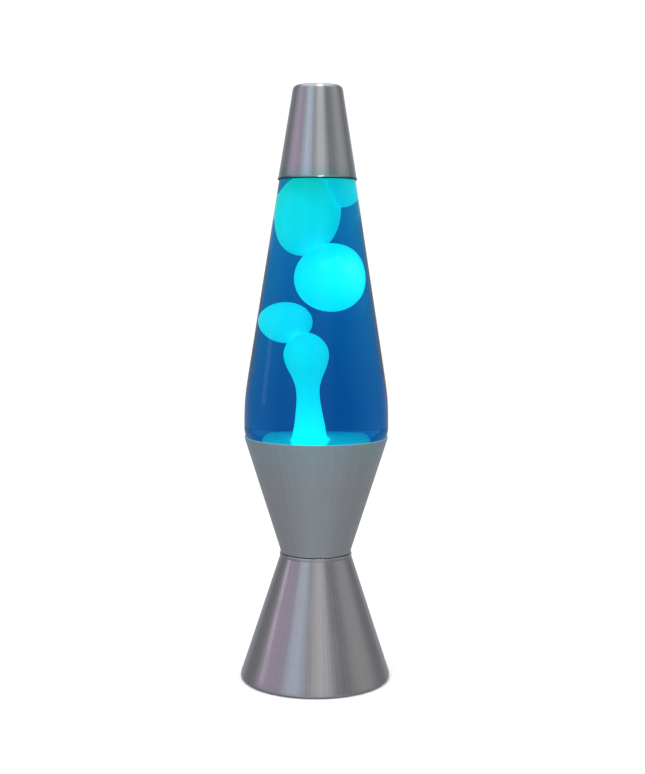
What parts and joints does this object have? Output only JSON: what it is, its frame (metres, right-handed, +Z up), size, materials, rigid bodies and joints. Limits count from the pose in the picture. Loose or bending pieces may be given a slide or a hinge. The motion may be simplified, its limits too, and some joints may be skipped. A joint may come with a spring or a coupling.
{
  "type": "lava lamp",
  "caption": "Lava lamp: a tapered glass globe of blue liquid and cyan wax under a metal cone cap, standing in an hourglass metal base with a bulb inside.",
  "frame": {"origin": "centre of the plane that the feet rest on", "axes": "+Z up along the lamp's axis, -Y towards the front, +X to the right seen from the front"},
  "size_m": [0.0942, 0.0942, 0.3683],
  "materials": {
    "brushed_aluminium": "spun and brushed along the cone, satin",
    "satin_silver": "satin silver paint on spun aluminium",
    "black_plastic": "moulded, matte",
    "black_rubber": "matte rubber",
    "zinc_steel": "zinc plated steel",
    "bakelite": "moulded phenolic, semi-gloss",
    "brass": "rolled brass, slightly dull",
    "black_glass": "opaque black vitreous glass",
    "solder": "dull tin-lead solder",
    "bulb_glass": "clear blown glass",
    "tungsten": "dark drawn wire",
    "clear_glass": "clear blown bottle glass",
    "blue_liquid": "clear dyed liquid",
    "cyan_wax": "molten translucent wax, lit from below",
    "crown_tinplate": "lacquered tinplate",
    "liner_white": "soft sealing compound"
  },
  "bodies": {
    "base": {"lower_cone": "brushed_aluminium", "upper_funnel": "satin_silver", "bottom_plate": "black_plastic", "foot_1": "black_rubber", "foot_2": "black_rubber", "foot_3": "black_rubber", "foot_4": "black_rubber", "cord_grommet": "black_rubber", "socket_bracket": "zinc_steel", "waist_screw_1": "zinc_steel", "waist_screw_2": "zinc_steel", "waist_nut_1": "zinc_steel", "waist_nut_2": "zinc_steel", "socket_nipple": "zinc_steel", "nipple_nut": "zinc_steel", "socket_body": "bakelite", "socket_shell": "brass", "socket_contact": "brass"},
    "bulb_base": {"bulb_insulator": "black_glass", "bulb_tip": "solder"},
    "bulb": {"bulb_shell": "brass", "bulb_envelope": "bulb_glass", "bulb_stem": "bulb_glass", "bulb_lead_1": "tungsten", "bulb_lead_2": "tungsten", "bulb_filament": "tungsten"},
    "globe": {"globe_glass": "clear_glass", "liquid": "blue_liquid", "wax_pool": "cyan_wax", "heating_coil": "zinc_steel", "crown_cap": "crown_tinplate", "cap_liner": "liner_white"},
    "wax_upper": {"wax_blob_top": "cyan_wax", "wax_blob_rear": "cyan_wax"},
    "wax_big": {"wax_blob_big": "cyan_wax"},
    "wax_small": {"wax_blob_small": "cyan_wax"},
    "cap": {"top_cap": "brushed_aluminium"}
  },
  "joints": [
    {"name": "globe_lift", "type": "slide", "parent": "base", "child": "globe", "axis": [0, 0, 1], "range_m": [0, 0.06]},
    {"name": "cap_lift", "type": "slide", "parent": "globe", "child": "cap", "axis": [0, 0, 1], "range_m": [0, 0.06]},
    {"name": "bulb_travel", "type": "slide", "parent": "base", "child": "bulb_base", "axis": [0, 0, 1], "range_m": [0, 0.0099]},
    {"name": "bulb_unscrew", "type": "hinge", "parent": "bulb_base", "child": "bulb", "pos_m": [0, 0, 0.0575], "axis": [0, 0, 1], "range_deg": [0, 1260]},
    {"name": "wax_upper_rise", "type": "slide", "parent": "globe", "child": "wax_upper", "axis": [0, 0, 1], "range_m": [0, 0.005]},
    {"name": "wax_big_rise", "type": "slide", "parent": "globe", "child": "wax_big", "axis": [0, 0, 1], "range_m": [-0.004, 0.0008]},
    {"name": "wax_small_rise", "type": "slide", "parent": "globe", "child": "wax_small", "axis": [0, 0, 1], "range_m": [0, 0.003]}
  ],
  "couplings": [
    {"joint": "bulb_travel", "follows": "bulb_unscrew", "m_per_rad": 0.00044882}
  ]
}
